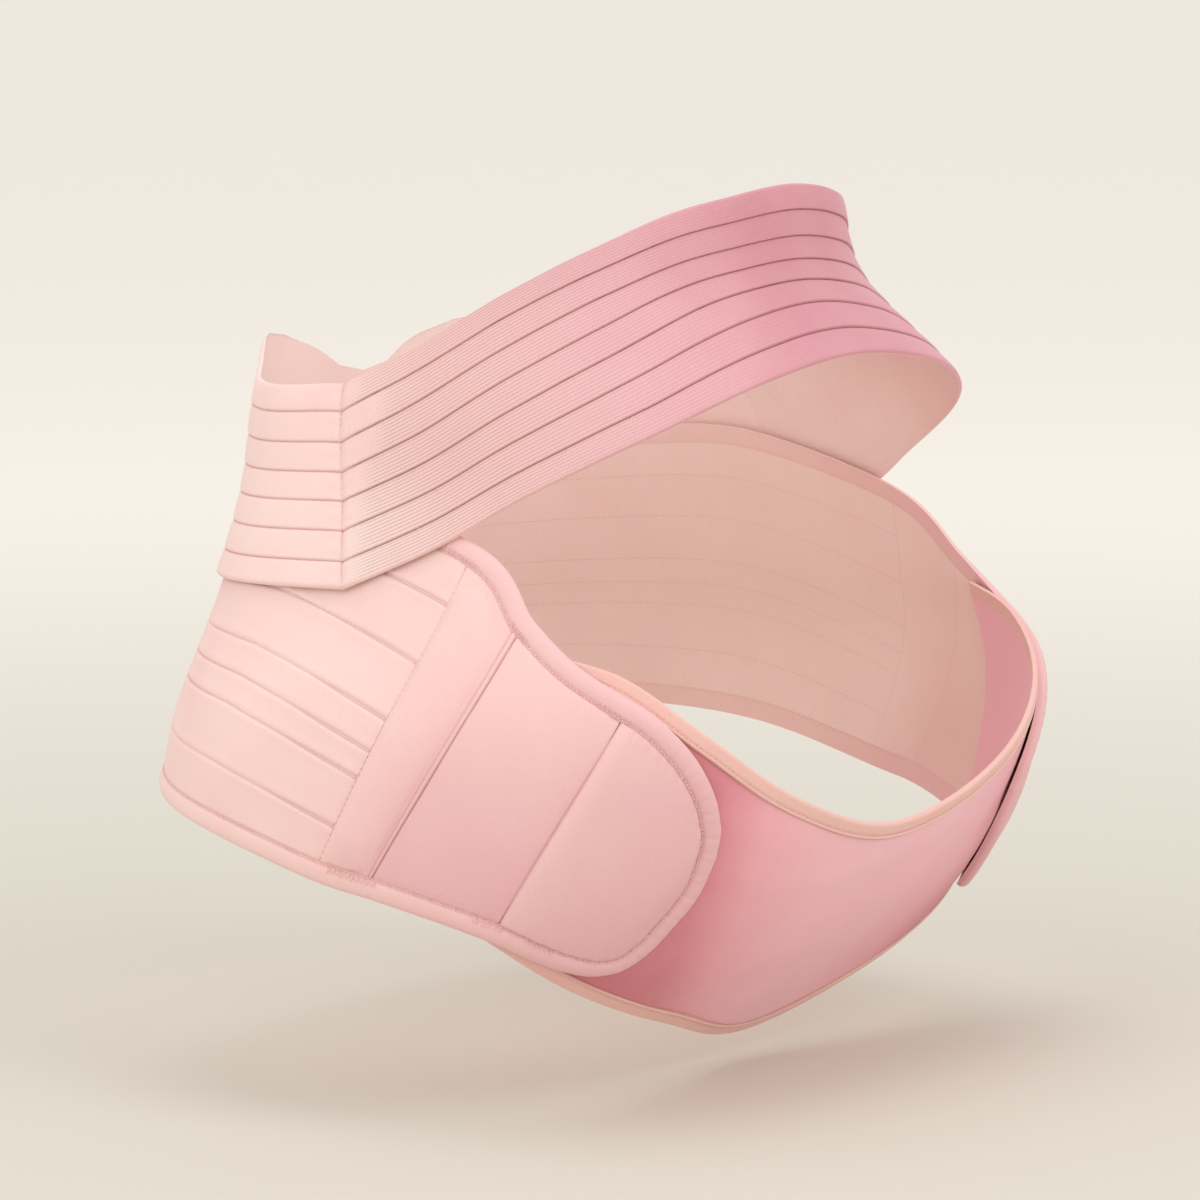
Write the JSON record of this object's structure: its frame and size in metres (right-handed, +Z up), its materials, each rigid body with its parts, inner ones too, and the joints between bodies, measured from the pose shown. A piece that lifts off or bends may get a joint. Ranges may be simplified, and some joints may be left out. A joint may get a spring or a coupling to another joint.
{
  "type": "maternity support belt",
  "caption": "Elastic maternity support belt in its worn shape: ribbed waist band over the belly, lower belt with stay channels and flaps closing on a belly panel.",
  "frame": {"origin": "on the axis of the torso that the belt is worn on, at the waist, just below the lower edge of the waist band at the back", "axes": "+Z up along the torso, +X to the wearer's left, the belly towards -Y"},
  "size_m": [0.3812, 0.2891, 0.3415],
  "materials": {
    "ribbed_elastic": "matt ribbed knitted elastic",
    "pale_elastic": "matt smooth knitted elastic",
    "loop_velour": "soft brushed loop cloth",
    "edging_tape": "folded soft edging tape",
    "hook_tape": "moulded hook tape"
  },
  "bodies": {
    "root": {"waist_band_front": "ribbed_elastic", "waist_band_back": "pale_elastic", "back_panel": "pale_elastic", "back_edging_top": "edging_tape", "back_edging_bottom": "edging_tape", "stay_channel_right": "pale_elastic", "stay_channel_left": "pale_elastic", "side_panel_right": "loop_velour", "side_panel_left": "loop_velour", "end_flap_right": "loop_velour", "end_flap_left": "loop_velour", "wing_edging_right": "edging_tape", "wing_edging_left": "edging_tape", "hook_patch_right": "hook_tape", "hook_patch_left": "hook_tape", "belly_panel": "loop_velour", "belly_binding_top": "edging_tape", "belly_binding_bottom": "edging_tape"}
  },
  "joints": []
}
